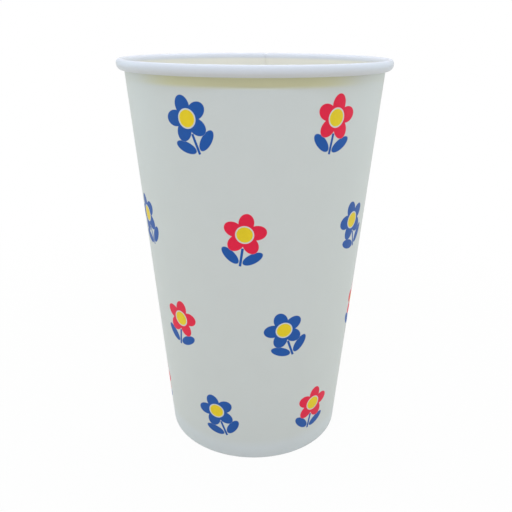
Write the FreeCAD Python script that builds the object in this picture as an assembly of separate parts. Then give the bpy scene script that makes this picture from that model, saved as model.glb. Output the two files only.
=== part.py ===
import FreeCAD, Part
import math
import os

# A tapered paper drinking cup for one hot or cold drink, made the way such cups are made: two blanks of
# coated board and no other piece.
#
# The side wall is one blank, a sector of a ring. It is rolled into a cone and sealed where its two straight
# edges lap. Its top edge is curled outwards and down into a hollow bead, and its bottom edge is turned in
# and up as a hem. The bottom disc is drawn into a shallow upside-down dish, whose skirt is held between the
# wall and the hem. The cup stands on the fold of the hem, and the disc hangs clear of the table.
#
# The frame: +Z is up along the cone's axis, and the origin is the centre of the ring that the cup stands on.
# The lap seam is at the back, towards +Y. Lengths are millimetres and angles are degrees.

# Overall sizes
HEIGHT = 136.0
RIM_DIAMETER = 90.0
BASE_DIAMETER = 64.3

# Board and seal
WALL_BOARD = 0.35
DISC_BOARD = 0.30
SEAL_FILM = 0.02

# Rolled rim: the bead is an oval whose long axis leans outwards at the top. Then come the air between its
# turns, and where the cut edge lies inside it. That is the direction in which the curl faces there, where 0
# is straight outwards and 180 is the wall: -180 is one full turn on from the wall.
BEAD_WIDTH = 2.6
BEAD_HEIGHT = 3.4
BEAD_LEAN = 15.0
CURL_GAP = 0.06
CURL_END = -180.0

# Lap seam: the width of the lap and of the ramp where one layer climbs over the other, both at the base
LAP_WIDTH = 6.0
RAMP_WIDTH = 1.2
SEAM_AZIMUTH = 90.0

# Base: the hem turned up inside, the flat across each inside corner of its fold, and the disc above it
HEM_HEIGHT = 5.6
FOLD_FLAT = 0.1
DISC_BEND_RADIUS = 1.2
HEM_CLEARANCE = 0.5

# A round stretch of a section is drawn as chords, each about this much of a turn. The bead's chords keep
# within 0.09 mm of its true curve, and the whole cup stays a light model.
CHORD_TURN = 30.0

# The wall's lean and the tangent where it meets the curl depend on each other, and are worked out in turn
# this many times. Each time brings them hundreds of times closer.
LEAN_ROUNDS = 4

AXIS_POINT = FreeCAD.Vector(0, 0, 0)
AXIS = FreeCAD.Vector(0, 0, 1)

# The curl is an oval spiral of board. Its coated face leaves the wall at 180 degrees, goes over the top at 90
# and outwards at 0, and comes in by one pitch each turn.
CURL_PITCH = WALL_BOARD + CURL_GAP
CURL_START_WIDTH = BEAD_WIDTH + CURL_PITCH / 2
CURL_START_HEIGHT = BEAD_HEIGHT + CURL_PITCH


def on_section(radius, height):
    """A point of the half plane in which every section is drawn."""
    return FreeCAD.Vector(radius, 0, height)


def facing(direction):
    """The unit vector of the section in a direction counted from straight outwards."""
    return on_section(math.cos(math.radians(direction)), math.sin(math.radians(direction)))


def curl_place(direction, shift):
    """The place on the curl, from the bead's centre, where its coated face looks in one direction.

    There the curl is a leaning oval, smaller on all sides by the shift and by what it has come in so far.
    """
    come_in = CURL_PITCH * (180 - direction) / 360 + shift
    half_width = CURL_START_WIDTH / 2 - come_in
    half_height = CURL_START_HEIGHT / 2 - come_in
    across = half_width * facing(direction + BEAD_LEAN).x
    along = half_height * facing(direction + BEAD_LEAN).z
    place = facing(-BEAD_LEAN) * (half_width * across) + facing(90 - BEAD_LEAN) * (half_height * along)
    return place / math.hypot(across, along)


BASE_RADIUS = BASE_DIAMETER / 2
BEAD_CENTRE = on_section(RIM_DIAMETER / 2 - curl_place(0, 0).x, HEIGHT - curl_place(90, 0).z)


def taper_angle():
    """The wall's lean from upright: its printed face runs from the base corner to a tangent of the curl."""
    run = BEAD_CENTRE.x - BASE_RADIUS
    distance = math.hypot(run, BEAD_CENTRE.z)
    lean = 0
    for _ in range(LEAN_ROUNDS):
        reach = curl_place(180 - lean, 0).dot(facing(180 - lean)) - WALL_BOARD
        lean = math.degrees(math.acos(reach / distance) - math.atan2(BEAD_CENTRE.z, run))
    return lean


TAPER = taper_angle()

# How deep each layer of the base lies behind the wall's printed face, measured square to the wall
SKIRT_DEPTH = WALL_BOARD + SEAL_FILM
HEM_DEPTH = SKIRT_DEPTH + DISC_BOARD + SEAL_FILM


def behind_wall(height, depth):
    """The point at a height on the surface that lies a depth behind the wall's printed face."""
    lean = math.radians(TAPER)
    return on_section(BASE_RADIUS + height * math.tan(lean) - depth / math.cos(lean), height)


def polygon(points):
    """The flat face inside a closed outline of points."""
    return Part.Face(Part.makePolygon(points + points[:1]))


def printed_side(start, end):
    """The unit vector square to a stretch of board, towards its printed side."""
    along = (end - start).normalize()
    return on_section(along.z, -along.x)


def sheet(path, thickness):
    """The section of a folded sheet: one face follows a path, and the other is mitred beside it."""
    sides = [printed_side(start, end) for start, end in zip(path, path[1:])]
    before = sides[:1] + sides
    after = sides + sides[-1:]
    offsets = [(a + b) * (thickness / (1 + a.dot(b))) for a, b in zip(before, after)]
    other_face = [point + offset for point, offset in zip(path, offsets)]
    return polygon(path + other_face[::-1])


def curl_path(shift):
    """The coated face of the curl, from the wall's tangent round to the cut edge inside the bead."""
    steps = round((180 - CURL_END) / CHORD_TURN)
    directions = [180 - TAPER] + [180 - step * CHORD_TURN for step in range(1, steps + 1)]
    return [BEAD_CENTRE + curl_place(direction, shift) for direction in directions]


def base_path(shift):
    """The coated face of the hem and its fold, from the hem's cut edge down and round to the wall's foot."""
    hem = HEM_DEPTH + shift
    wall = WALL_BOARD - shift
    return [
        behind_wall(HEM_HEIGHT, hem),
        behind_wall(WALL_BOARD + FOLD_FLAT, hem),
        behind_wall(WALL_BOARD, hem - FOLD_FLAT),
        behind_wall(WALL_BOARD, wall + FOLD_FLAT),
        behind_wall(WALL_BOARD + FOLD_FLAT, wall),
    ]


def layer(shift):
    """One layer of the side wall, moved towards its printed side by a shift but for the fold's floor."""
    return sheet(base_path(shift) + curl_path(shift), WALL_BOARD)


def lap_section():
    """The section through the lap: two layers of wall and hem, under a bead packed with board."""
    packed_bead = polygon(curl_path(0))
    return layer(0).multiFuse([layer(WALL_BOARD), packed_bead]).removeSplitter()


def turned(section, start, sweep):
    """A section swept about the cup's axis from a starting angle."""
    section.rotate(AXIS_POINT, AXIS, start)
    return section.revolve(AXIS_POINT, AXIS, sweep)


def side_wall():
    """The rolled blank: one layer most of the way, a ramp up onto the other edge, and the lap."""
    lap = math.degrees(LAP_WIDTH / BASE_RADIUS)
    ramp = math.degrees(RAMP_WIDTH / BASE_RADIUS)
    ramp_foot = layer(0).OuterWire
    ramp_foot.rotate(AXIS_POINT, AXIS, -ramp)
    climb = Part.makeLoft([ramp_foot, layer(WALL_BOARD).OuterWire], True, True)
    single = turned(layer(0), lap, 360 - lap - ramp)
    double = turned(lap_section(), 0, lap)
    wall = single.multiFuse([double, climb]).removeSplitter()
    wall.rotate(AXIS_POINT, AXIS, SEAM_AZIMUTH - lap / 2)
    return wall


def bottom_disc():
    """The drawn disc: a flat panel with its edge bent down into a skirt that follows the wall."""
    top = HEM_HEIGHT + HEM_CLEARANCE + DISC_BEND_RADIUS
    bend_centre = behind_wall(top - DISC_BEND_RADIUS, SKIRT_DEPTH + DISC_BEND_RADIUS)
    turn = 90 + TAPER
    steps = round(turn / CHORD_TURN)
    bend = [bend_centre + facing(90 - turn * step / steps) * DISC_BEND_RADIUS for step in range(steps + 1)]
    foot = behind_wall(WALL_BOARD + FOLD_FLAT + SEAL_FILM, SKIRT_DEPTH)
    return turned(sheet([on_section(0, top)] + bend + [foot], DISC_BOARD), 0, 360)


def main():
    """Build both pieces and write each to its own file."""
    os.makedirs("parts", exist_ok=True)
    for name, shape in (("side_wall", side_wall()), ("bottom_disc", bottom_disc())):
        shape.exportStep(f"parts/{name}.step")
        print(name, "solids", len(shape.Solids), "valid", shape.isValid(), "volume", round(shape.Volume, 2))


main()
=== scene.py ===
"""Looks of a tapered paper cup: two blanks of coated board, a printed repeat of sprigs, and a soft studio.

Lengths are metres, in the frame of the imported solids: +Z is up the cup's axis, and the origin is the centre
of the ring that the cup stands on. Angles are radians, and an azimuth is counted from +X towards +Y.
"""

import logging
import math
from abc import ABC, abstractmethod
from dataclasses import dataclass
from enum import Enum, IntEnum
from functools import cached_property
from typing import ClassVar, NamedTuple

import bpy
import numpy as np
from mathutils import Euler, Matrix, Vector


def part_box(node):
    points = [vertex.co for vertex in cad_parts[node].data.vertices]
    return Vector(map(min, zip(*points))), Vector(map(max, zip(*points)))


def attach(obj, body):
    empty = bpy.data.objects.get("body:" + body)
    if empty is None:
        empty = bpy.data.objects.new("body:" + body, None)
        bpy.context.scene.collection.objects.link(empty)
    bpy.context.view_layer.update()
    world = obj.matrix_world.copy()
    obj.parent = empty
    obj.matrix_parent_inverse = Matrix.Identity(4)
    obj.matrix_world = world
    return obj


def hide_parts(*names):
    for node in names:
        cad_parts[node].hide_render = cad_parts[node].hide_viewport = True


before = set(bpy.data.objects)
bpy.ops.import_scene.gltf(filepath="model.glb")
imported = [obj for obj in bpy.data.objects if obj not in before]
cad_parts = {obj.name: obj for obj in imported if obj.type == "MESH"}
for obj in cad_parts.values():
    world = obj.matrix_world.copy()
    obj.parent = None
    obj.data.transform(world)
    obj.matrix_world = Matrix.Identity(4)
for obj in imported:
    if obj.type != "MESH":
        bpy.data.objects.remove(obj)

LOG = logging.getLogger("paper_cup")
MM = 0.001
FULL_TURN = 2 * math.pi
SHARP_ANGLE = math.radians(50)

Socket = bpy.types.NodeSocket
Colour = tuple[float, float, float]
Value = Socket | float | Colour
WHITE: Colour = (1.0, 1.0, 1.0)


class Side(IntEnum):
    """The kinds of face of a blank, in the order of a piece's material slots."""

    OUTER = 0
    INNER = 1
    CUT = 2


class Island(Enum):
    """The rectangles of a piece's finish map, each by its lowest and its highest corner."""

    OUTER_FACE = ((0.005, 0.005), (0.995, 0.475))
    INNER_FACE = ((0.005, 0.485), (0.995, 0.945))
    FIRST_END = ((0.005, 0.950), (0.995, 0.958))
    LAST_END = ((0.005, 0.962), (0.995, 0.970))
    HEM_EDGE = ((0.005, 0.974), (0.995, 0.982))
    CURL_EDGE = ((0.005, 0.986), (0.995, 0.994))
    SKIRT_EDGE = ((0.010, 0.010), (0.990, 0.030))

    def grid(self, up: np.ndarray, across: np.ndarray) -> np.ndarray:
        """Spreads a grid over the rectangle: the lowest corner plus each share of the way to the highest.

        Args:
            up: Each row's share of the way up.
            across: Each column's share of the way across.

        Returns:
            The places by row and column, in a last axis of two.
        """
        low, high = np.array(self.value)
        return low + np.stack(np.meshgrid(across, up), axis=-1) * (high - low)


def smooth_step(value: np.ndarray, low: float, high: float) -> np.ndarray:
    """Rises smoothly from 0 at one value to 1 at another.

    Args:
        value: The values to grade.
        low: Where the rise starts.
        high: Where the rise ends.

    Returns:
        Three times the square less twice the cube of the share of the way, kept within 0 and 1.
    """
    share = np.clip((value - low) / (high - low), 0.0, 1.0)
    return share * share * (3.0 - 2.0 * share)


def shares_along(points: np.ndarray) -> np.ndarray:
    """Finds how far along a polyline each of its points lies.

    Args:
        points: The polyline, as rows of radius and height.

    Returns:
        The share of the whole length that lies before each point.
    """
    steps = np.linalg.norm(np.diff(points, axis=0), axis=1)
    run = np.concatenate([[0.0], np.cumsum(steps)])
    return run / run[-1]


def turned_about_axis(radius: np.ndarray, height: np.ndarray, azimuth: np.ndarray) -> np.ndarray:
    """Carries points of the half plane round the cup's axis: the radius splits into its cosine and sine."""
    return np.stack([radius * np.cos(azimuth), radius * np.sin(azimuth), height], axis=-1)


@dataclass(frozen=True)
class CupSizes:
    """The cup's driving sizes, and those worked out from them, as the solids have them."""

    height: float
    rim_radius: float
    base_radius: float = 32.15 * MM
    wall_board: float = 0.35 * MM
    disc_board: float = 0.30 * MM
    seal_film: float = 0.02 * MM
    bead_width: float = 2.6 * MM
    bead_height: float = 3.4 * MM
    bead_lean: float = math.radians(15)
    curl_gap: float = 0.06 * MM
    hem_height: float = 5.6 * MM
    hem_clearance: float = 0.5 * MM
    disc_bend_radius: float = 1.2 * MM
    lap_width: float = 6.0 * MM
    ramp_width: float = 1.2 * MM
    seam_azimuth: float = math.pi / 2
    lean_rounds: int = 4

    @property
    def curl_pitch(self) -> float:
        """How far the curl comes in with each turn."""
        return self.wall_board + self.curl_gap

    def curl_place(self, direction: np.ndarray) -> np.ndarray:
        """Where the curl's coated face looks in each direction, from the bead's centre.

        There the curl is a leaning oval, smaller on all sides by what it has come in since it left the wall.
        Each half axis, squared and times its share of the direction, is divided by the tangent's distance.

        Args:
            direction: Directions counted from straight outwards, where the wall lies at half a turn.

        Returns:
            The places as radius and height, in a last axis of two.
        """
        come_in = self.curl_pitch * (math.pi - direction) / FULL_TURN
        half_width = self.bead_width / 2 + self.curl_pitch / 4 - come_in
        half_height = self.bead_height / 2 + self.curl_pitch / 2 - come_in
        across = half_width * np.cos(direction + self.bead_lean)
        along = half_height * np.sin(direction + self.bead_lean)
        reach = np.hypot(across, along)
        across, along = half_width * across / reach, half_height * along / reach
        cosine, sine = math.cos(self.bead_lean), math.sin(self.bead_lean)
        return np.stack([across * cosine + along * sine, along * cosine - across * sine], axis=-1)

    @cached_property
    def bead_centre(self) -> np.ndarray:
        """The bead's centre: the curl reaches the rim's radius straight outwards, and its height straight up.

        Returns:
            The centre's radius and height.
        """
        outwards = self.curl_place(np.float64(0.0))[0]
        upwards = self.curl_place(np.float64(math.pi / 2))[1]
        return np.array([self.rim_radius - outwards, self.height - upwards])

    @cached_property
    def taper(self) -> float:
        """The wall's lean from upright: its printed face runs from the base corner to the curl's tangent.

        The lean and the tangent depend on each other, so each is worked out from the other in turn.

        Returns:
            The angle.
        """
        run = self.bead_centre[0] - self.base_radius
        distance = math.hypot(run, self.bead_centre[1])
        lean = 0.0
        for _ in range(self.lean_rounds):
            inwards = np.array([-math.cos(lean), math.sin(lean)])
            reach = self.curl_place(np.float64(math.pi - lean)) @ inwards - self.wall_board
            lean = math.acos(reach / distance) - math.atan2(self.bead_centre[1], run)
        return lean

    @property
    def skirt_depth(self) -> float:
        """How deep the disc's skirt lies behind the wall's printed face, square to the wall."""
        return self.wall_board + self.seal_film

    @property
    def hem_depth(self) -> float:
        """How deep the hem's coated face lies behind the wall's printed face, square to the wall."""
        return self.skirt_depth + self.disc_board + self.seal_film

    @property
    def wall_out(self) -> np.ndarray:
        """The unit vector square to the wall and outwards, as radius and height."""
        return np.array([math.cos(self.taper), -math.sin(self.taper)])

    @property
    def wall_up(self) -> np.ndarray:
        """The unit vector up the wall, as radius and height."""
        return np.array([math.sin(self.taper), math.cos(self.taper)])

    def behind_wall(self, height: float, depth: float) -> np.ndarray:
        """Finds a point a depth behind the wall's printed face.

        Args:
            height: The point's height above the table.
            depth: Its depth, square to the wall.

        Returns:
            The point's radius and height.
        """
        lean = self.taper
        return np.array([self.base_radius + height * math.tan(lean) - depth / math.cos(lean), height])


@dataclass(frozen=True)
class Wave:
    """One wave of the board's unevenness: how many go round, where they start, and how they turn and grow."""

    count: int
    start: float
    at_foot: float
    at_rim: float
    at_middle: float = 0.0
    drift: float = 0.0

    def rise(self, azimuth: np.ndarray, up: np.ndarray | float) -> np.ndarray:
        """The wave's height: its strength there times the sine of its turned angle.

        Args:
            azimuth: Azimuth of each point.
            up: Each point's share of the way up the cup.

        Returns:
            The wave's rise at each point.
        """
        strength = self.at_foot + (self.at_rim - self.at_foot) * up + self.at_middle * np.sin(np.pi * up)
        return strength * np.sin(self.count * azimuth + self.start + self.drift * up)


@dataclass(frozen=True)
class HandOfTheBoard:
    """The small unevenness of a rolled and glued cup, the same for the wall and for the disc inside it."""

    height: float
    depth: float = 0.09 * MM
    waves: tuple[Wave, ...] = (
        Wave(count=2, start=0.6, at_foot=0.25, at_rim=0.60),
        Wave(count=3, start=0.0, at_foot=0.25, at_rim=0.25, drift=2.4),
        Wave(count=7, start=1.9, at_foot=0.0, at_rim=0.0, at_middle=0.1, drift=-3.0),
    )

    def inward(self, azimuth: np.ndarray, height: np.ndarray) -> np.ndarray:
        """How far the board lies inside its true circle.

        The waves are added, and taken from 1, so that the board never lies outside the true circle.

        Args:
            azimuth: Azimuth of each point.
            height: Height of each point.

        Returns:
            The distance inwards at each point.
        """
        up = height / self.height
        return self.depth * (1.0 - sum(wave.rise(azimuth, up) for wave in self.waves)) / 2


@dataclass(frozen=True)
class Patch:
    """A grid of quads: which vertices it joins, where they lie in the finish's map, and its kind of face."""

    index: np.ndarray
    place: np.ndarray
    side: Side

    @staticmethod
    def corners(grid: np.ndarray) -> np.ndarray:
        """The four corners of each cell of a grid, turning left where columns and then rows turn left."""
        return np.stack([grid[:-1, :-1], grid[:-1, 1:], grid[1:, 1:], grid[1:, :-1]], axis=2)

    def quads(self) -> np.ndarray:
        """The corners of each quad, by vertex."""
        return self.corners(self.index).reshape(-1, 4)

    def corner_places(self) -> np.ndarray:
        """The map place of each corner, in the order of the quads' corners."""
        return self.corners(self.place).reshape(-1, 4, 2)

    def turned_over(self) -> "Patch":
        """The same patch, facing the other way."""
        return Patch(self.index[::-1], self.place[::-1], self.side)


def mesh_from_patches(name: str, points: np.ndarray, patches: list[Patch]) -> bpy.types.Object:
    """Makes one mesh object from a vertex array and the patches that join it.

    A quad whose neighbouring corners are one vertex, as round the middle of a disc, becomes a triangle.

    Args:
        name: The piece's name.
        points: All vertices, as rows of x, y and z.
        patches: The grids of quads, which share vertices where they meet.

    Returns:
        The new object, linked to the scene, smooth but for its folds' and cuts' edges.
    """
    quads = np.concatenate([patch.quads() for patch in patches])
    places = np.concatenate([patch.corner_places() for patch in patches])
    sides = np.concatenate([np.full(len(patch.quads()), patch.side, np.int32) for patch in patches])
    own = quads != np.roll(quads, -1, axis=1)
    whole = own.all(axis=1)
    triangles = quads[~whole][own[~whole]].reshape(-1, 3)
    corners = np.concatenate([places[whole].reshape(-1, 2), places[~whole][own[~whole]]])

    mesh = bpy.data.meshes.new(name)
    mesh.from_pydata(points, [], [*quads[whole].tolist(), *triangles.tolist()])
    mesh.polygons.foreach_set("material_index", np.concatenate([sides[whole], sides[~whole]]))
    layer = mesh.uv_layers.new(name="OFBake")
    layer.uv.foreach_set("vector", corners.astype(np.float32).ravel())
    mesh.shade_smooth()
    mesh.set_sharp_from_angle(angle=SHARP_ANGLE)
    piece = bpy.data.objects.new(name, mesh)
    bpy.context.scene.collection.objects.link(piece)
    return piece


@dataclass(frozen=True)
class Blank(ABC):
    """One blank of board: its sizes and unevenness, the node that it stands for, and that node's slot."""

    sizes: CupSizes
    hand: HandOfTheBoard
    node: ClassVar[str]
    slot: ClassVar[str]

    @abstractmethod
    def build(self) -> bpy.types.Object:
        """Makes the blank's object."""

    def rolled(self, section: np.ndarray, azimuth: np.ndarray) -> np.ndarray:
        """Carries one face round the axis, drawn inwards by the board's unevenness.

        Args:
            section: The face in the half plane, by row and column.
            azimuth: Azimuth of each column.

        Returns:
            The points, as rows of x, y and z.
        """
        inward = self.hand.inward(azimuth, section[..., 1])
        return turned_about_axis(section[..., 0] - inward, section[..., 1], azimuth).reshape(-1, 3)

    def dress(self, piece: bpy.types.Object, *finishes: bpy.types.Material) -> None:
        """Gives the piece its finishes, and puts it in its node's place.

        Args:
            piece: The blank's object.
            finishes: The finishes of its faces, in the order of Side.
        """
        for finish in finishes:
            piece.data.materials.append(finish)
        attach(piece, "root")
        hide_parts(self.node)


@dataclass(frozen=True)
class SideWall(Blank):
    """The rolled blank of the side wall, as one closed skin round a true sheet of board.

    The board's coated face follows a path in the half plane: down the hem from its cut edge, half round the
    fold, up the wall and once round the curl. The path is carried round the axis a little further than a
    full turn, so the last stretch laps over the first, and the printed face lies one board beside it.
    Rollers press upright grooves into the printed face of the hem, which looks inwards under the disc.
    """

    node = "side_wall"
    slot = "printed_board"
    hem_rows: int = 6
    fold_rows: int = 11
    wall_rows: int = 27
    curl_rows: int = 43
    lap_columns: int = 10
    ramp_columns: int = 5
    grooves: int = 128
    columns_per_groove: int = 4
    groove_depth: float = 0.11 * MM
    lap_curl_less: float = 1.15
    lap_pressed: float = 0.5
    fold_flat: float = 1.2

    @property
    def lap(self) -> float:
        """The lap's angle at the base."""
        return self.sizes.lap_width / self.sizes.base_radius

    @property
    def ramp(self) -> float:
        """The angle in which one layer climbs over the other."""
        return self.sizes.ramp_width / self.sizes.base_radius

    def columns(self) -> np.ndarray:
        """Spaces the columns evenly over each of four stretches: lap, single board, ramp and lap again.

        Returns:
            How far round the board each column lies, from the inner cut edge to the outer one.
        """
        single_columns = self.grooves * self.columns_per_groove
        inner = np.linspace(0.0, self.lap, self.lap_columns, endpoint=False)
        single = np.linspace(self.lap, FULL_TURN - self.ramp, single_columns, endpoint=False)
        climb = np.linspace(FULL_TURN - self.ramp, FULL_TURN, self.ramp_columns, endpoint=False)
        outer = np.linspace(FULL_TURN, FULL_TURN + self.lap, self.lap_columns)
        return np.concatenate([inner, single, climb, outer])

    def straight_and_fold(self) -> tuple[np.ndarray, np.ndarray, np.ndarray]:
        """The coated face from the hem's cut edge to the start of the curl.

        The fold is a half circle between the hem and the wall, so its direction turns evenly from inwards,
        through down, to outwards.

        Returns:
            The points, the unit vectors towards the printed face, and how much each row is fold floor.
        """
        sizes = self.sizes
        inner_radius = (sizes.hem_depth - sizes.wall_board) / 2
        middle_depth = (sizes.hem_depth + sizes.wall_board) / 2
        centre = sizes.behind_wall(inner_radius + sizes.wall_board, middle_depth)
        out, up = sizes.wall_out, sizes.wall_up

        hem_top = sizes.behind_wall(sizes.hem_height, sizes.hem_depth)
        hem_foot = centre - inner_radius * out
        down_hem = np.linspace(0.0, 1.0, self.hem_rows, endpoint=False)[:, None]
        hem = hem_top + down_hem * (hem_foot - hem_top)

        turn = np.linspace(0.0, math.pi, self.fold_rows)[:, None]
        fold_out = -np.cos(turn) * out - np.sin(turn) * up
        fold = centre + inner_radius * fold_out

        wall_top = sizes.bead_centre + sizes.curl_place(np.float64(math.pi - sizes.taper))
        up_wall = np.linspace(0.0, 1.0, self.wall_rows + 1)[1:, None]
        wall = fold[-1] + up_wall * (wall_top - fold[-1])

        points = np.concatenate([hem, fold, wall])
        normals = np.concatenate([np.tile(-out, (len(hem), 1)), fold_out, np.tile(out, (len(wall), 1))])
        lowest = np.minimum(1.0, self.fold_flat * np.sin(turn[:, 0]))
        floor = np.concatenate([np.zeros(len(hem)), lowest, np.zeros(len(wall))])
        return points, normals, floor

    def curl(self, round_board: np.ndarray) -> tuple[np.ndarray, np.ndarray]:
        """The coated face of the curl, for every column.

        The direction that the face looks in turns from the wall over the top and outwards. Through the lap
        the curl stops short, so that two layers have room in the bead.

        Args:
            round_board: How far round the board each column lies.

        Returns:
            The points and the unit vectors towards the printed face, by row and column.
        """
        sizes = self.sizes
        past_lap = self.lap + 2 * self.ramp
        near_lap = 1 - smooth_step(round_board, self.lap, past_lap)
        near_lap += smooth_step(round_board, FULL_TURN - past_lap, FULL_TURN - self.ramp)
        full = FULL_TURN - self.lap_curl_less * near_lap
        share = np.linspace(0.0, 1.0, self.curl_rows + 1)[1:]
        direction = math.pi - sizes.taper - share[:, None] * full[None, :]
        towards_print = -np.stack([np.cos(direction), np.sin(direction)], axis=-1)
        return sizes.bead_centre + sizes.curl_place(direction), towards_print

    def pressed(self, round_board: np.ndarray, rows: int) -> np.ndarray:
        """How deep the rollers' grooves are pressed into the printed face of the hem's single layer.

        Each groove is one wave of a cosine, and ends before the hem's cut edge and the fold.

        Args:
            round_board: How far round the board each column lies.
            rows: The number of rows of the whole path.

        Returns:
            The depths, by row and column.
        """
        share = (round_board - self.lap) / (FULL_TURN - self.ramp - self.lap)
        wave = (1 - np.cos(FULL_TURN * self.grooves * np.clip(share, 0.0, 1.0))) / 2
        on_hem = np.zeros(rows)
        on_hem[1 : self.hem_rows] = 1.0
        return self.groove_depth * on_hem[:, None] * wave[None, :]

    def wall_run(self) -> float:
        """How far the straight wall runs, from the end of the fold to the start of the curl."""
        points = self.straight_and_fold()[0]
        return float(np.linalg.norm(points[-1] - points[self.hem_rows + self.fold_rows - 1]))

    def faces(self, round_board: np.ndarray) -> tuple[np.ndarray, np.ndarray]:
        """Works out both faces of the board in the half plane, for every column.

        The outer layer of the lap is lifted by one board and the seal. Under the fold the lap's two layers
        are pressed to half their thickness, so the foot is flat.

        Args:
            round_board: How far round the board each column lies.

        Returns:
            The coated and the printed face, by row and column.
        """
        sizes = self.sizes
        points, normals, floor = self.straight_and_fold()
        curl_points, curl_normals = self.curl(round_board)
        count = len(round_board)
        path = np.concatenate([np.repeat(points[:, None], count, axis=1), curl_points])
        towards_print = np.concatenate([np.repeat(normals[:, None], count, axis=1), curl_normals])
        floor = np.concatenate([floor, np.zeros(self.curl_rows)])[:, None]

        inner = 1 - smooth_step(round_board, self.lap, self.lap + self.ramp)[None, :]
        outer = smooth_step(round_board, FULL_TURN - self.ramp, FULL_TURN)[None, :]
        lifted = outer * (sizes.wall_board * (1 - self.lap_pressed * floor) + sizes.seal_film)
        board = sizes.wall_board * (1 - self.lap_pressed * floor * (inner + outer))
        board = board - sizes.seal_film * floor * outer - self.pressed(round_board, len(path))
        coated = path + lifted[..., None] * towards_print
        return coated, coated + board[..., None] * towards_print

    def build(self) -> bpy.types.Object:
        """Carries both faces round the axis and joins them along the blank's four cut edges.

        Returns:
            The side wall's object.
        """
        round_board = self.columns()
        coated, printed = self.faces(round_board)
        azimuth = (self.sizes.seam_azimuth + round_board - self.lap / 2)[None, :]
        along = shares_along(coated[:, len(round_board) // 2])
        across = round_board / round_board[-1]
        ends = np.array([0.0, 1.0])

        back = np.arange(along.size * across.size).reshape(along.size, across.size)
        front = back + back.size
        first_end = Island.FIRST_END.grid(ends, along).swapaxes(0, 1)
        last_end = Island.LAST_END.grid(ends, along).swapaxes(0, 1)
        patches = [
            Patch(front, Island.OUTER_FACE.grid(along, across), Side.OUTER),
            Patch(back, Island.INNER_FACE.grid(along, across), Side.INNER).turned_over(),
            Patch(np.stack([back[:, 0], front[:, 0]], axis=1), first_end, Side.CUT),
            Patch(np.stack([front[:, -1], back[:, -1]], axis=1), last_end, Side.CUT),
            Patch(np.stack([back[0], front[0]]), Island.HEM_EDGE.grid(ends, across), Side.CUT),
            Patch(np.stack([front[-1], back[-1]]), Island.CURL_EDGE.grid(ends, across), Side.CUT),
        ]
        skins = [self.rolled(coated, azimuth), self.rolled(printed, azimuth)]
        piece = mesh_from_patches("folded_side_wall", np.concatenate(skins), patches)
        self.mark_places(piece, along, round_board, (coated, printed))
        return piece

    def mark_places(
        self,
        piece: bpy.types.Object,
        along: np.ndarray,
        round_board: np.ndarray,
        faces: tuple[np.ndarray, np.ndarray],
    ) -> None:
        """Stores where each point lies on the blank, which the finishes read.

        The three numbers are turns round the board, millimetres up the wall from the end of the fold, and
        the distance from the cup's axis in millimetres.

        Args:
            piece: The side wall's object.
            along: Each row's share of the path.
            round_board: How far round the board each column lies.
            faces: The coated and the printed face in the half plane.
        """
        start_row = self.hem_rows + self.fold_rows - 1
        top_row = start_row + self.wall_rows
        run = (along - along[start_row]) / (along[top_row] - along[start_row]) * self.wall_run() / MM
        turns, run_grid = np.meshgrid(round_board / FULL_TURN, run)
        places = [np.stack([turns, run_grid, face[..., 0] / MM], axis=-1) for face in faces]
        layer = piece.data.attributes.new("blank_place", "FLOAT_VECTOR", "POINT")
        layer.data.foreach_set("vector", np.stack(places).astype(np.float32).ravel())


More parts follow.
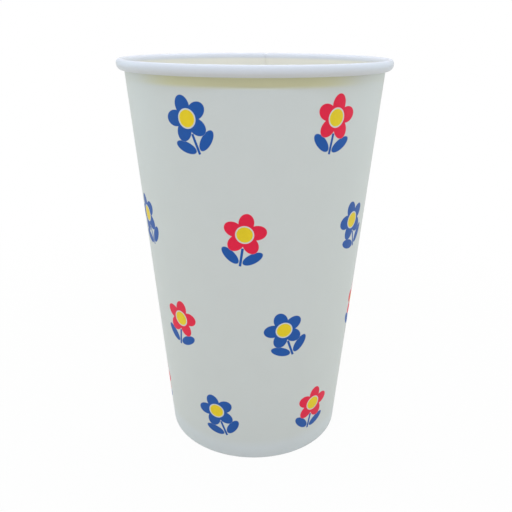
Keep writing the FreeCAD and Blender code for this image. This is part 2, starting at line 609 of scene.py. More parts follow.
@dataclass(frozen=True)
class BottomDisc(Blank):
    """The drawn disc: a flat panel, a bend and a skirt, with the small pleats that drawing leaves."""

    node = "bottom_disc"
    slot = "plain_board"
    flat_rows: int = 16
    bend_rows: int = 10
    skirt_rows: int = 8
    pleats: int = 61
    columns_per_pleat: int = 6
    pleat_depth: float = 0.045 * MM
    pleat_run: float = 3.5 * MM
    pleated_at_bend: float = 0.6
    pleated_at_foot: float = 0.5
    pleat_shift: Wave = Wave(count=3, start=0.0, at_foot=0.8, at_rim=0.8)
    pleat_strengths: tuple[Wave, ...] = (
        Wave(count=5, start=1.0, at_foot=0.45, at_rim=0.45),
        Wave(count=13, start=0.0, at_foot=0.3, at_rim=0.3),
    )
    strongest_pleat: float = 1.5
    panel_sag: float = 0.16 * MM
    foot_gap: float = 0.14 * MM
    map_centres: tuple[tuple[float, float], ...] = ((0.25, 0.7), (0.75, 0.7))
    map_reach: float = 0.24

    def section(self) -> tuple[np.ndarray, np.ndarray, np.ndarray]:
        """The drink side of the disc in the half plane, from near the centre to the skirt's foot.

        The panel sags by the square of one less the square of its share of the way out.

        Returns:
            The points, the unit vectors towards the underside, and how pleated each row is.
        """
        sizes = self.sizes
        bend_radius = sizes.disc_bend_radius
        top = sizes.hem_height + sizes.hem_clearance + bend_radius
        bend_centre = sizes.behind_wall(top - bend_radius, sizes.skirt_depth + bend_radius)
        reach = np.linspace(0.0, 1.0, self.flat_rows + 1)[1:] * bend_centre[0]
        flat = np.stack([reach, top - self.panel_sag * (1 - (reach / bend_centre[0]) ** 2) ** 2], axis=-1)
        turn = math.pi / 2 - np.linspace(0.0, 1.0, self.bend_rows + 1)[1:, None] * (math.pi / 2 + sizes.taper)
        bend_out = np.concatenate([np.cos(turn), np.sin(turn)], axis=1)
        bend = bend_centre + bend_radius * bend_out
        foot = sizes.behind_wall(sizes.wall_board + self.foot_gap, sizes.skirt_depth)
        skirt = bend[-1] + np.linspace(0.0, 1.0, self.skirt_rows + 1)[1:, None] * (foot - bend[-1])
        points = np.concatenate([flat, bend, skirt])
        down = np.tile([0.0, -1.0], (len(flat), 1))
        normals = np.concatenate([down, -bend_out, np.tile(-sizes.wall_out, (len(skirt), 1))])
        on_panel = smooth_step(reach, bend_centre[0] - self.pleat_run, bend_centre[0]) * self.pleated_at_bend
        on_bend = np.linspace(self.pleated_at_bend, 1.0, self.bend_rows)
        on_skirt = np.linspace(1.0, self.pleated_at_foot, self.skirt_rows)
        return points, normals, np.concatenate([on_panel, on_bend, on_skirt])

    def pleat_share(self, azimuth: np.ndarray) -> np.ndarray:
        """How far each column stands in a pleat.

        Each pleat is a wave of a cosine, raised to lie between 0 and 1, and squared. Slower waves shift the
        pleats sideways and make some of them stronger than others.

        Args:
            azimuth: Azimuth of each column.

        Returns:
            The share of the pleats' depth.
        """
        shifted = self.pleats * azimuth + self.pleat_shift.rise(azimuth, 0.0)
        strength = 1 + sum(wave.rise(azimuth, 0.0) for wave in self.pleat_strengths)
        return ((1 + np.cos(shifted)) / 2) ** 2 * np.clip(strength, 0.0, self.strongest_pleat)

    def build(self) -> bpy.types.Object:
        """Carries the section round the axis and closes it at both centres and along the foot.

        Returns:
            The disc's object.
        """
        points, normals, pleated = self.section()
        rows, count = len(points), self.pleats * self.columns_per_pleat
        azimuth = np.linspace(0.0, FULL_TURN, count, endpoint=False)[None, :]
        pleat = self.pleat_depth * pleated[:, None] * self.pleat_share(azimuth)
        top = points[:, None] + pleat[..., None] * normals[:, None]
        under = top + self.sizes.disc_board * normals[:, None]
        hubs = np.array([[0.0, 0.0, top[0, 0, 1]], [0.0, 0.0, under[0, 0, 1]]])
        skins = [self.rolled(top, azimuth), self.rolled(under, azimuth), hubs]

        wrap = np.arange(count + 1) % count
        top_index = np.arange(rows * count).reshape(rows, count)[:, wrap]
        under_index = top_index + rows * count
        top_hub = np.full((1, count + 1), 2 * rows * count)
        top_index = np.concatenate([top_hub, top_index])
        under_index = np.concatenate([top_hub + 1, under_index])

        across = np.linspace(0.0, 1.0, count + 1)
        along = shares_along(np.concatenate([[[0.0, points[0, 1]]], points]))
        top_centre, under_centre = self.map_centres
        edge = Island.SKIRT_EDGE.grid(np.array([0.0, 1.0]), across)
        patches = [
            Patch(top_index, self.round_map(along, across, top_centre), Side.INNER).turned_over(),
            Patch(under_index, self.round_map(along, across, under_centre), Side.OUTER),
            Patch(np.stack([under_index[-1], top_index[-1]]), edge, Side.CUT),
        ]
        return mesh_from_patches("drawn_bottom_disc", np.concatenate(skins), patches)

    def round_map(self, along: np.ndarray, across: np.ndarray, centre: tuple[float, float]) -> np.ndarray:
        """Lays a face of the disc out as a round island, where the share of its section is the distance out.

        Args:
            along: Each row's share of the section.
            across: Each column's share of the way round.
            centre: The island's centre.

        Returns:
            The places by row and column, in a last axis of two.
        """
        angle = across[None, :] * FULL_TURN
        reach = along[:, None] * self.map_reach
        return np.stack([centre[0] + reach * np.cos(angle), centre[1] + reach * np.sin(angle)], axis=-1)


class Ray(Enum):
    """The kinds of ray that a plain background is shown to, by their names at the Light Path node."""

    CAMERA = "Is Camera Ray"
    GLOSSY = "Is Glossy Ray"
    TRANSMISSION = "Is Transmission Ray"


class Graph:
    """A shader node tree, with a short call for each kind of node that the finishes use."""

    def __init__(self, tree: bpy.types.NodeTree) -> None:
        """Keeps the tree to add to."""
        self.tree = tree

    def kept(self, kind: str) -> bpy.types.Node:
        """Finds the node of one type that a new tree already has."""
        return next(node for node in self.tree.nodes if node.type == kind)

    def node(self, kind: str, **settings: object) -> bpy.types.Node:
        """Adds a node and sets its properties.

        Args:
            kind: The node's class.
            settings: Its properties, by name.

        Returns:
            The new node.
        """
        made = self.tree.nodes.new(kind)
        for key, value in settings.items():
            setattr(made, key, value)
        return made

    def feed(self, socket: Socket, value: Value) -> None:
        """Links a socket to another, or sets its plain value.

        Args:
            socket: The input to feed.
            value: The output to link it to, or its number or colour.
        """
        if isinstance(value, Socket):
            self.tree.links.new(value, socket)
        elif socket.type == "RGBA":
            socket.default_value = (*value, 1.0)
        else:
            socket.default_value = value

    def math(self, operation: str, first: Value, second: Value = 0.0) -> Socket:
        """Adds a Math node.

        Args:
            operation: What it does.
            first: Its first value.
            second: Its second value, where it takes two.

        Returns:
            The node's result.
        """
        made = self.node("ShaderNodeMath", operation=operation)
        self.feed(made.inputs[0], first)
        self.feed(made.inputs[1], second)
        return made.outputs[0]

    def plus(self, first: Value, second: Value) -> Socket:
        """Adds the second value to the first."""
        return self.math("ADD", first, second)

    def less(self, first: Value, second: Value) -> Socket:
        """Takes the second value from the first."""
        return self.math("SUBTRACT", first, second)

    def times(self, first: Value, second: Value) -> Socket:
        """Multiplies the first value by the second."""
        return self.math("MULTIPLY", first, second)

    def reach(self, across: Value, up: Value) -> Socket:
        """Finds how far a place lies from its origin: the root of the sum of its squared numbers."""
        return self.math("SQRT", self.plus(self.times(across, across), self.times(up, up)))

    def turned(self, across: Value, up: Value, cosine: Value, sine: Value) -> tuple[Socket, Socket]:
        """Turns a place about its origin: each new number is a sum of both old ones times cosine and sine.

        Args:
            across: The place's first number.
            up: The place's second number.
            cosine: The cosine of the turn.
            sine: The sine of the turn.

        Returns:
            The turned place's two numbers.
        """
        new_across = self.plus(self.times(across, cosine), self.times(up, sine))
        new_up = self.less(self.times(up, cosine), self.times(across, sine))
        return new_across, new_up

    def grade(self, value: Value, low: float, high: float, start: float = 0.0, end: float = 1.0) -> Socket:
        """Adds a smooth Map Range node.

        Args:
            value: The value to grade.
            low: The value that gives the start.
            high: The value that gives the end.
            start: The result up to the low value.
            end: The result from the high value on.

        Returns:
            The node's result.
        """
        made = self.node("ShaderNodeMapRange", interpolation_type="SMOOTHSTEP")
        for socket, number in zip(made.inputs, (value, low, high, start, end)):
            self.feed(socket, number)
        return made.outputs[0]

    def past(self, value: Value, edge: float, blend: float) -> Socket:
        """Rises smoothly from 0 to 1 over a blend whose middle is an edge."""
        return self.grade(value, edge - blend / 2, edge + blend / 2)

    def before(self, value: Value, edge: float, blend: float) -> Socket:
        """Falls smoothly from 1 to 0 over a blend whose middle is an edge."""
        return self.grade(value, edge - blend / 2, edge + blend / 2, 1.0, 0.0)

    def mix(self, factor: Value, first: Value, second: Value, blend: str = "MIX") -> Socket:
        """Adds a Mix node for colours.

        Args:
            factor: How much of the second colour shows.
            first: The colour underneath.
            second: The colour on top.
            blend: How the second colour is laid over the first.

        Returns:
            The node's colour.
        """
        made = self.node("ShaderNodeMix", data_type="RGBA", blend_type=blend)
        colours = [socket for socket in made.inputs if socket.type == "RGBA"]
        self.feed(made.inputs[0], factor)
        self.feed(colours[0], first)
        self.feed(colours[1], second)
        return next(socket for socket in made.outputs if socket.type == "RGBA")

    def noise(self, vector: Socket, size: float, detail: float = 2.0) -> Socket:
        """Adds a Noise node.

        Args:
            vector: The place that it reads.
            size: About how large its features are.
            detail: How many times finer noise is added.

        Returns:
            The node's value.
        """
        made = self.node("ShaderNodeTexNoise")
        self.feed(made.inputs["Vector"], vector)
        self.feed(made.inputs["Scale"], 1.0 / size)
        self.feed(made.inputs["Detail"], detail)
        return made.outputs[0]

    def seen_by(self, *rays: Ray) -> Socket:
        """Adds a Light Path node and joins some of its kinds of ray.

        Args:
            rays: The kinds of ray.

        Returns:
            1 for a ray of one of these kinds, and 0 for any other.
        """
        path = self.node("ShaderNodeLightPath")
        seen = path.outputs[rays[0].value]
        for ray in rays[1:]:
            seen = self.math("MAXIMUM", seen, path.outputs[ray.value])
        return seen

    def blend(self, factor: Value, first: bpy.types.Node, second: bpy.types.Node, result: Socket) -> None:
        """Blends two shaders with a Mix Shader node, and feeds an output with them.

        Args:
            factor: How much of the second shader shows.
            first: The first shader.
            second: The second shader.
            result: The output's socket.
        """
        made = self.node("ShaderNodeMixShader")
        for socket, value in zip(made.inputs, (factor, first.outputs[0], second.outputs[0])):
            self.feed(socket, value)
        self.feed(result, made.outputs[0])


class Group(NamedTuple):
    """A new shader node group: its graph, its input node and its output node."""

    graph: Graph
    given: bpy.types.Node
    result: bpy.types.Node


def new_group(name: str, inputs: dict[str, str], outputs: tuple[str, ...]) -> Group:
    """Starts a shader node group with named sockets.

    Args:
        name: The group's name.
        inputs: The socket type of each input, by its name.
        outputs: Each output's name; all are plain values.

    Returns:
        The new group.
    """
    tree = bpy.data.node_groups.new(name, "ShaderNodeTree")
    for label, kind in inputs.items():
        tree.interface.new_socket(label, in_out="INPUT", socket_type=kind)
    for label in outputs:
        tree.interface.new_socket(label, in_out="OUTPUT", socket_type="NodeSocketFloat")
    graph = Graph(tree)
    return Group(graph, graph.node("NodeGroupInput"), graph.node("NodeGroupOutput"))


@dataclass(frozen=True)
class BoardGrain:
    """The fibres and the cloudy formation that all of this board's faces show, each at its own strength."""

    fibre: float = 0.35 * MM
    pore: float = 1.1 * MM
    cloud: float = 9.0 * MM
    fine_detail: float = 3.0
    fibre_relief: float = 0.6
    cloud_tone: float = 0.7

    def build(self) -> bpy.types.NodeTree:
        """Makes the group: a relief for bumps, and a tone about one half for colour and shine.

        The relief is a share of the fibres and the rest pores; the tone is a share of the clouds and the
        rest pores.

        Returns:
            The group's tree.
        """
        graph, given, result = new_group("board_grain", {"Vector": "NodeSocketVector"}, ("Relief", "Tone"))
        vector = given.outputs["Vector"]
        fibres = graph.noise(vector, self.fibre, self.fine_detail)
        pores = graph.noise(vector, self.pore)
        clouds = graph.noise(vector, self.cloud, self.fine_detail)
        parts = (("Relief", fibres, self.fibre_relief), ("Tone", clouds, self.cloud_tone))
        for label, strong, share in parts:
            summed = graph.plus(graph.times(strong, share), graph.times(pores, 1.0 - share))
            graph.feed(result.inputs[label], summed)
        return graph.tree


class Cover(Enum):
    """What an ink can cover in a sprig, by its name at the sprig's node group."""

    PETALS = "Petals"
    EYE = "Eye"
    LEAVES = "Leaves"


@dataclass(frozen=True)
class Sprig:
    """One printed sprig: a blossom of five round petals on a stem with two leaves. Sizes are millimetres."""

    petals: int = 5
    petal_reach: float = 3.8
    petal_length: float = 3.0
    petal_width: float = 2.35
    eye_radius: float = 2.4
    eye_gap: float = 0.4
    leaf_aside: float = 3.5
    leaf_below: float = 7.5
    leaf_length: float = 3.5
    leaf_width: float = 1.6
    leaf_lean: float = math.radians(38)
    stem_half_width: float = 0.4
    stem_top: float = -4.5
    stem_foot: float = -10.6
    ink_edge: float = 0.16

    def oval(self, graph: Graph, along: Value, across: Value, length: float, width: float) -> Socket:
        """Covers an oval with ink: full inside, none outside, and graded over the ink's edge.

        A point's depth inside is 1 less its reach in an oval of half length and half width 1, times width.

        Args:
            graph: The graph to add to.
            along: The point's place along the oval.
            across: The point's place across it.
            length: The oval's half length.
            width: The oval's half width.

        Returns:
            How much ink covers the point.
        """
        reach = graph.reach(graph.math("DIVIDE", along, length), graph.math("DIVIDE", across, width))
        return graph.past(graph.times(graph.less(1.0, reach), width), 0.0, self.ink_edge)

    def blossom(self, graph: Graph, aside: Socket, up: Socket) -> tuple[Socket, Socket]:
        """Covers the petals and the round eye between them.

        Every petal is the same oval: the angle round the blossom is folded into one petal's share of a turn.

        Args:
            graph: The graph to add to.
            aside: The point's place sideways from the blossom's middle.
            up: The point's place above it.

        Returns:
            How much ink covers the point in the petals and in the eye.
        """
        reach = graph.reach(aside, up)
        sector = graph.times(graph.math("ARCTAN2", aside, up), self.petals / FULL_TURN)
        folded = graph.times(graph.less(sector, graph.math("ROUND", sector)), FULL_TURN / self.petals)
        along = graph.less(graph.times(reach, graph.math("COSINE", folded)), self.petal_reach)
        across = graph.times(reach, graph.math("SINE", folded))
        petals = self.oval(graph, along, across, self.petal_length, self.petal_width)
        clear = self.eye_radius + self.eye_gap
        petals = graph.times(petals, graph.grade(reach, clear, clear + self.ink_edge))
        eye = graph.grade(reach, self.eye_radius, self.eye_radius + self.ink_edge, 1.0, 0.0)
        return petals, eye

    def leaves(self, graph: Graph, aside: Socket, up: Socket) -> Socket:
        """Covers the stem, a narrow upright bar, and the two leaves, one oval and its mirror image.

        Args:
            graph: The graph to add to.
            aside: The point's place sideways from the blossom's middle.
            up: The point's place above it.

        Returns:
            How much ink covers the point.
        """
        from_stem = graph.math("ABSOLUTE", aside)
        side, rise = graph.less(from_stem, self.leaf_aside), graph.plus(up, self.leaf_below)
        along, across = graph.turned(side, rise, math.cos(self.leaf_lean), math.sin(self.leaf_lean))
        leaf = self.oval(graph, along, across, self.leaf_length, self.leaf_width)
        stem_middle = (self.stem_top + self.stem_foot) / 2
        stem_half = (self.stem_top - self.stem_foot) / 2
        beside = graph.less(from_stem, self.stem_half_width)
        beyond = graph.less(graph.math("ABSOLUTE", graph.less(up, stem_middle)), stem_half)
        stem = graph.before(graph.math("MAXIMUM", beside, beyond), 0.0, self.ink_edge)
        return graph.math("MAXIMUM", leaf, stem)

    def build(self) -> bpy.types.NodeTree:
        """Makes the group: from a place in millimetres about the blossom, the cover of each ink.

        Returns:
            The group's tree.
        """
        inputs = {"X": "NodeSocketFloat", "Y": "NodeSocketFloat"}
        graph, given, result = new_group("sprig", inputs, tuple(cover.value for cover in Cover))
        aside, up = given.outputs["X"], given.outputs["Y"]
        petals, eye = self.blossom(graph, aside, up)
        leaves = graph.times(self.leaves(graph, aside, up), graph.less(1.0, petals))
        for cover, value in ((Cover.PETALS, petals), (Cover.EYE, eye), (Cover.LEAVES, leaves)):
            graph.feed(result.inputs[cover.value], value)
        return graph.tree


class BlankPlace(NamedTuple):
    """A point's place on the wall's blank: the whole vector, and its three numbers.

    They are turns round the board, millimetres up the wall, and millimetres from the cup's axis.
    """

    whole: Socket
    turns: Socket
    run: Socket
    radius: Socket


def read_place(graph: Graph) -> BlankPlace:
    """Reads where a point lies on the wall's blank.

    Args:
        graph: The graph to add to.

    Returns:
        The point's place.
    """
    attribute = graph.node("ShaderNodeAttribute", attribute_name="blank_place", attribute_type="GEOMETRY")
    split = graph.node("ShaderNodeSeparateXYZ")
    graph.feed(split.inputs[0], attribute.outputs["Vector"])
    return BlankPlace(attribute.outputs["Vector"], *split.outputs)


@dataclass(frozen=True)
class PrintRepeat:
    """How sprigs are spread over the blank: rows round the cup, each row turned a share of a step.

    Sprigs of the first and the second kind take turns, each tilted its own way. Lengths are millimetres.
    """

    per_turn: int = 6
    first_row: float = 17.0
    row_step: float = 34.0
    rows: int = 4
    row_turn: float = 0.36
    start_turn: float = 0.27
    sprig_rise: float = 2.2
    first_tilt: float = math.radians(-8.4)
    second_tilt: float = math.radians(19.6)

    def cells(self, graph: Graph, place: BlankPlace) -> tuple[Socket, Socket, Socket]:
        """Finds the nearest sprig and the place about it.

        Both the row and the step within it are the nearest whole number, and what is left is the distance.

        Args:
            graph: The graph to add to.
            place: The point's place on the blank.

        Returns:
            The place about the sprig in millimetres, aside and up, and 1 for a sprig of the second kind.
        """
        level = graph.math("DIVIDE", graph.less(place.run, self.first_row), self.row_step)
        row = graph.math("MAXIMUM", graph.math("ROUND", level), 0.0)
        row = graph.math("MINIMUM", row, float(self.rows - 1))
        up = graph.times(graph.less(level, row), self.row_step)
        shift = graph.plus(graph.times(row, self.row_turn), self.start_turn)
        step = graph.plus(graph.times(place.turns, float(self.per_turn)), shift)
        column = graph.math("ROUND", step)
        aside = graph.times(graph.less(step, column), graph.times(place.radius, FULL_TURN / self.per_turn))
        second = graph.math("FLOORED_MODULO", graph.plus(column, row), 2.0)
        tilt = graph.plus(graph.times(second, self.second_tilt - self.first_tilt), self.first_tilt)
        aside, up = graph.turned(aside, up, graph.math("COSINE", tilt), graph.math("SINE", tilt))
        return aside, graph.less(up, self.sprig_rise), second


@dataclass(frozen=True)
class BoardFinish:
    """A finish of bare board: its colour where it is dense and where it is thin, its shine and its grain."""

    name: str
    colour: Colour
    shade: Colour
    roughness: float
    bump: float
    shine: float
    bump_depth: float = 0.05 * MM
    roughness_spread: float = 0.16

    def build(self, grain: bpy.types.NodeTree) -> bpy.types.Material:
        """Makes the material: the grain's tone grades its colour and roughness, and its relief the bump.

        Args:
            grain: The node group of the board's grain.

        Returns:
            The finished material.
        """
        material = bpy.data.materials.new(self.name)
        material.use_nodes = True
        graph = Graph(material.node_tree)
        shader = graph.kept("BSDF_PRINCIPLED")
        graph.feed(shader.inputs["Specular IOR Level"], self.shine)
        placed = graph.node("ShaderNodeGroup", node_tree=grain)
        graph.feed(placed.inputs["Vector"], graph.node("ShaderNodeTexCoord").outputs["Object"])
        tone, relief = placed.outputs["Tone"], placed.outputs["Relief"]
        board = graph.mix(tone, self.shade, self.colour)
        graph.feed(shader.inputs["Base Color"], self.dressed_colour(graph, board, tone))
        half = self.roughness_spread / 2
        rough = graph.grade(tone, 0.0, 1.0, self.roughness - half, self.roughness + half)
        graph.feed(shader.inputs["Roughness"], rough)
        bump = graph.node("ShaderNodeBump")
        graph.feed(bump.inputs["Strength"], self.bump)
        graph.feed(bump.inputs["Distance"], self.bump_depth)
        graph.feed(bump.inputs["Height"], self.dressed_relief(graph, relief))
        graph.feed(shader.inputs["Normal"], bump.outputs[0])
        return material

    def dressed_colour(self, graph: Graph, board: Socket, tone: Socket) -> Socket:
        """Adds nothing to plain board's colour."""
        return board

    def dressed_relief(self, graph: Graph, relief: Socket) -> Socket:
        """Adds nothing to plain board's relief."""
        return relief


@dataclass(frozen=True)
class InsideFinish(BoardFinish):
    """The coated inside: creamy in the bowl, and on the bead a painted cool, darker shade of the same
    coating.

    Places on the blank are millimetres up the wall.
    """

    # painted shade: the bowl's coating darkened and cooled for the cool light falling on the rim
    bead_painted_shade: Colour = (0.64, 0.64, 0.66)
    bead_from: float = 130.0
    bead_blend: float = 1.2

    def dressed_colour(self, graph: Graph, board: Socket, tone: Socket) -> Socket:
        """Grades the bowl's colour into the bead's painted cool shade over the start of the curl."""
        on_bead = graph.past(read_place(graph).run, self.bead_from, self.bead_blend)
        return graph.mix(on_bead, board, self.bead_painted_shade)


@dataclass(frozen=True)
class PrintedFinish(BoardFinish):
    """The outside of the cup: satin board with sprigs in three inks.

    Below the bottom disc, where skirt and hem back the wall, the colour grades a little lighter and cooler.
    Under the bead a painted warm shadow of the bead darkens the board towards yellow, strongest at the
    front, with only a faint warm tint all round. Places on the blank are millimetres up the wall, and
    turns round the board.
    """

    red: Colour = (0.79, 0.004, 0.045)
    blue: Colour = (0.002, 0.078, 0.335)
    yellow: Colour = (0.82, 0.59, 0.008)
    foot: Colour = (1.02, 1.035, 1.085)
    foot_top: float = 6.2
    foot_blend: float = 5.0
    # painted shadow under the bead: a warm tint multiplied in, strongest at the front and faint all round
    bead_shadow_tint: Colour = (1.05, 1.02, 0.73)
    bead_shadow_to: float = 130.0
    bead_shadow_width: float = 4.2
    bead_shadow_blend: float = 1.4
    bead_shadow_middle: float = 0.505
    bead_shadow_reach: tuple[float, float] = (0.075, 0.15)
    bead_shadow_elsewhere: float = 0.05
    thin_ink: float = 0.9
    ink_tones: tuple[float, float] = (0.3, 0.7)
    streak: float = 0.5
    streak_scale: tuple[float, float, float] = (28.0, 0.012, 0.0)
    streak_size: float = 1.0

    def dressed_colour(self, graph: Graph, board: Socket, tone: Socket) -> Socket:
        """Tints the foot, paints the bead's warm shadow below it, and lays the three inks over the board.

        Args:
            graph: The graph to add to.
            board: The bare board's colour.
            tone: The grain's tone, about one half.

        Returns:
            The printed board's colour.
        """
        place = read_place(graph)
        at_foot = graph.before(place.run, self.foot_top, self.foot_blend)
        board = graph.mix(at_foot, board, self.foot, "MULTIPLY")
        # painted warm shadow under the bead, strongest at the front
        board = graph.mix(self.painted_bead_shadow_share(graph, place), board, self.bead_shadow_tint, "MULTIPLY")
        return self.inked(graph, board, tone, place)

    def painted_bead_shadow_share(self, graph: Graph, place: BlankPlace) -> Socket:
        """Finds the painted bead shadow at each point: the strip's height times a share falling off round the
        cup.

        Args:
            graph: The graph to add to.
            place: The point's place on the blank.

        Returns:
            How much of the painted warm shadow shows.
        """
        # the strip of painted shadow just under the bead
        in_shadow_strip = graph.past(place.run, self.bead_shadow_to - self.bead_shadow_width, self.bead_shadow_blend)
        beside = graph.math("ABSOLUTE", graph.less(place.turns, self.bead_shadow_middle))
        return graph.times(in_shadow_strip, graph.grade(beside, *self.bead_shadow_reach, 1.0, self.bead_shadow_elsewhere))

    def inked(self, graph: Graph, board: Socket, tone: Socket, place: BlankPlace) -> Socket:
        """Prints the repeat of sprigs, in inks that are a little darker where the board's tone is low.

        Args:
            graph: The graph to add to.
            board: The bare board's colour.
            tone: The grain's tone, about one half.
            place: The point's place on the blank.

        Returns:
            The printed board's colour.
        """
        aside, up, second = PrintRepeat().cells(graph, place)
        sprig = graph.node("ShaderNodeGroup", node_tree=Sprig().build())
        graph.feed(sprig.inputs["X"], aside)
        graph.feed(sprig.inputs["Y"], up)
        petals, eye, leaves = (sprig.outputs[cover.value] for cover in Cover)
        colour = graph.mix(leaves, board, self.blue)
        colour = graph.mix(petals, colour, graph.mix(second, self.red, self.blue))
        colour = graph.mix(eye, colour, self.yellow)
        thinned = graph.node("ShaderNodeVectorMath", operation="SCALE")
        graph.feed(thinned.inputs["Vector"], colour)
        graph.feed(thinned.inputs["Scale"], graph.grade(tone, *self.ink_tones, self.thin_ink, 1.0))
        covered = graph.math("MAXIMUM", graph.math("MAXIMUM", petals, leaves), eye)
        return graph.mix(covered, colour, thinned.outputs["Vector"])

    def dressed_relief(self, graph: Graph, relief: Socket) -> Socket:
        """Adds faint upright streaks from the rolling: noise drawn out along the wall.

        Args:
            graph: The graph to add to.
            relief: The bare board's relief.

        Returns:
            The relief with the streaks.
        """
        drawn_out = graph.node("ShaderNodeMapping")
        graph.feed(drawn_out.inputs["Vector"], read_place(graph).whole)
        graph.feed(drawn_out.inputs["Scale"], self.streak_scale)
        streaks = graph.noise(drawn_out.outputs[0], self.streak_size)
        return graph.plus(relief, graph.times(streaks, self.streak))


class Finishes(NamedTuple):
    """The materials of the cup: outside wall, inside, underside, and the edges where the board is cut."""

    printed: bpy.types.Material
    coated: bpy.types.Material
    plain: bpy.types.Material
    cut: bpy.types.Material


def make_finishes(bead_from: float) -> Finishes:
    """Makes the four finishes of the board over one grain.

    Args:
        bead_from: How many millimetres up the wall the bead starts.

    Returns:
        The four materials.
    """
    grain = BoardGrain().build()
    printed = PrintedFinish(
        name="printed_board",
        colour=(0.617, 0.620, 0.582),
        shade=(0.589, 0.592, 0.555),
        roughness=0.5,
        bump=0.25,
        shine=0.3,
        # the painted bead shadow ends where the bead starts
        bead_shadow_to=bead_from,
    )
    coated = InsideFinish(
        name="coated_board",
        colour=(0.83, 0.79, 0.68),
        shade=(0.80, 0.76, 0.65),
        roughness=0.5,
        bump=0.15,
        shine=0.22,
        bead_from=bead_from,
    )
    plain = BoardFinish(
        name="plain_board",
        colour=(0.64, 0.63, 0.58),
        shade=(0.60, 0.59, 0.54),
        roughness=0.7,
        bump=0.4,
        shine=0.3,
    )
    cut = BoardFinish(
        name="cut_edge",
        colour=(0.64, 0.60, 0.53),
        shade=(0.54, 0.50, 0.43),
        roughness=0.8,
        bump=0.8,
        shine=0.2,
    )
    return Finishes(*(finish.build(grain) for finish in (printed, coated, plain, cut)))


@dataclass(frozen=True)
class Lamp:
    """A soft rectangular lamp: its name, place, width and height, power and colour."""

    name: str
    place: tuple[float, float, float]
    size: tuple[float, float]
    watts: float
    colour: Colour

    def hang(self, aim: tuple[float, float, float]) -> None:
        """Hangs the lamp and turns it towards a point.

        Args:
            aim: The point that it shines at.
        """
        data = bpy.data.lights.new(self.name, "AREA")
        data.shape = "RECTANGLE"
        data.size, data.size_y = self.size
        data.energy = self.watts
        data.color = self.colour
        hung = bpy.data.objects.new(self.name, data)
        hung.location = self.place
        hung.rotation_euler = (Vector(aim) - Vector(self.place)).to_track_quat("-Z", "Y").to_euler()
        bpy.context.scene.collection.objects.link(hung)


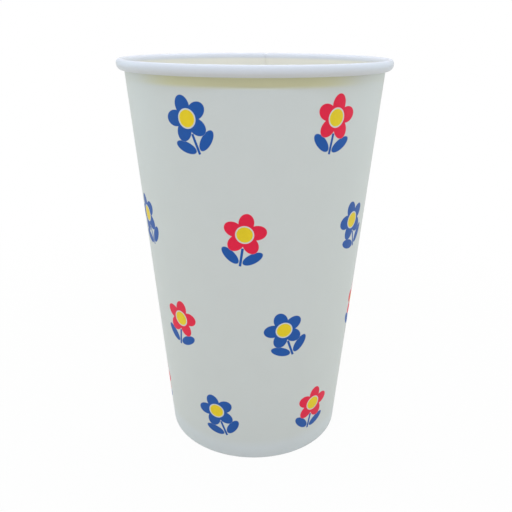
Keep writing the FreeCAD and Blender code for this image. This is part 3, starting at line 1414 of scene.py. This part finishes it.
@dataclass(frozen=True)
class Studio:
    """The pale floor, the soft lamps and the camera.

    The lamps are two cool keys high in front and behind, a large softbox overhead, and a panel at each side.
    """

    aim: tuple[float, float, float] = (0.0, 0.0, 0.07)
    floor_radius: float = 4.0
    floor_corners: int = 96
    floor_colour: Colour = (0.66, 0.64, 0.58)
    floor_roughness: float = 0.9
    floor_shine: float = 0.2
    floor_white: float = 0.955
    whiter_over: tuple[float, float] = (0.10, 0.30)
    world_colour: Colour = (1.0, 0.955, 0.83)
    world_level: float = 0.665
    lamps: tuple[Lamp, ...] = (
        Lamp("front_key", place=(0.0, -0.58, 0.93), size=(0.9, 0.06), watts=7.0, colour=(0.50, 0.68, 1.0)),
        Lamp("back_key", place=(0.0, 0.58, 0.93), size=(0.9, 0.06), watts=3.2, colour=(0.78, 0.82, 1.0)),
        Lamp("overhead", place=(0.0, 0.05, 1.1), size=(0.9, 0.9), watts=2.45, colour=(1.0, 0.92, 0.80)),
        Lamp("left_panel", place=(-0.78, 0.24, 0.18), size=(0.6, 0.6), watts=2.5, colour=(0.52, 0.78, 1.0)),
        Lamp("right_panel", place=(0.78, 0.24, 0.18), size=(0.6, 0.6), watts=2.3, colour=(0.52, 0.78, 1.0)),
    )
    camera_place: tuple[float, float, float] = (0.0, -0.20571, 0.14449)
    camera_pitch: float = 0.365
    camera_yaw: float = -0.00314
    camera_roll: float = 0.005
    camera_lens: float = 41.59
    camera_clip: float = 0.01

    def floor_finish(self) -> bpy.types.Material:
        """Makes the floor's material: pale to the light, and to the camera near white, but for the shadow.

        Returns:
            The material.
        """
        material = bpy.data.materials.new("pale_floor")
        material.use_nodes = True
        graph = Graph(material.node_tree)
        shader = graph.kept("BSDF_PRINCIPLED")
        graph.feed(shader.inputs["Base Color"], self.floor_colour)
        graph.feed(shader.inputs["Roughness"], self.floor_roughness)
        graph.feed(shader.inputs["Specular IOR Level"], self.floor_shine)
        distance = graph.node("ShaderNodeVectorMath", operation="LENGTH")
        graph.feed(distance.inputs["Vector"], graph.node("ShaderNodeTexCoord").outputs["Object"])
        white_share = graph.grade(distance.outputs["Value"], *self.whiter_over, self.floor_white, 1.0)
        seen = graph.seen_by(Ray.CAMERA, Ray.GLOSSY, Ray.TRANSMISSION)
        output = graph.kept("OUTPUT_MATERIAL").inputs["Surface"]
        graph.blend(graph.times(white_share, seen), shader, graph.node("ShaderNodeEmission"), output)
        return material

    def floor(self) -> None:
        """Lays a round floor at the table's height: corners evenly round a circle, joined by one face."""
        azimuth = np.linspace(0.0, FULL_TURN, self.floor_corners, endpoint=False)
        radius = np.full_like(azimuth, self.floor_radius)
        mesh = bpy.data.meshes.new("studio_floor")
        ring = turned_about_axis(radius, np.zeros_like(azimuth), azimuth)
        mesh.from_pydata(ring, [], [list(range(self.floor_corners))])
        mesh.materials.append(self.floor_finish())
        floor = bpy.data.objects.new("studio_floor", mesh)
        bpy.context.scene.collection.objects.link(floor)

    def world(self) -> None:
        """Sets even light from all round, a little warm, and plain white where the camera sees it."""
        world = bpy.data.worlds.new("studio")
        world.use_nodes = True
        bpy.context.scene.world = world
        graph = Graph(world.node_tree)
        light = graph.kept("BACKGROUND")
        graph.feed(light.inputs["Color"], self.world_colour)
        graph.feed(light.inputs["Strength"], self.world_level)
        white = graph.node("ShaderNodeBackground")
        graph.feed(white.inputs["Color"], WHITE)
        output = graph.kept("OUTPUT_WORLD").inputs["Surface"]
        graph.blend(graph.seen_by(Ray.CAMERA, Ray.TRANSMISSION), light, white, output)

    def camera(self) -> None:
        """Sets the camera up in front of the cup and a little above it."""
        data = bpy.data.cameras.new("camera")
        data.lens = self.camera_lens
        data.clip_start = self.camera_clip
        camera = bpy.data.objects.new("camera", data)
        turn = Euler((math.pi / 2 - self.camera_pitch, 0.0, self.camera_yaw)).to_matrix()
        roll = Matrix.Rotation(self.camera_roll, 3, "Z")
        camera.matrix_world = Matrix.Translation(self.camera_place) @ (turn @ roll).to_4x4()
        bpy.context.scene.collection.objects.link(camera)
        bpy.context.scene.camera = camera

    def build(self) -> None:
        """Sets up everything round the cup."""
        self.floor()
        self.world()
        for lamp in self.lamps:
            lamp.hang(self.aim)
        self.camera()
        bpy.context.scene.view_settings.view_transform = "Standard"


def main() -> None:
    """Builds the two blanks round the frame, dresses them, and sets the studio up."""
    logging.basicConfig(level=logging.INFO, format="%(name)s: %(message)s")
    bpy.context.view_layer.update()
    low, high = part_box("side_wall")
    sizes = CupSizes(height=high.z, rim_radius=(high.x - low.x) / 2)
    hand = HandOfTheBoard(height=sizes.height)
    wall, disc = SideWall(sizes, hand), BottomDisc(sizes, hand)
    finishes = make_finishes(bead_from=wall.wall_run() / MM)

    for blank, outer in ((wall, finishes.printed), (disc, finishes.plain)):
        piece = blank.build()
        blank.dress(piece, outer, finishes.coated, finishes.cut)
        LOG.info("%s: %d faces", piece.name, len(piece.data.polygons))

    Studio().build()


if __name__ == "__main__":
    main()
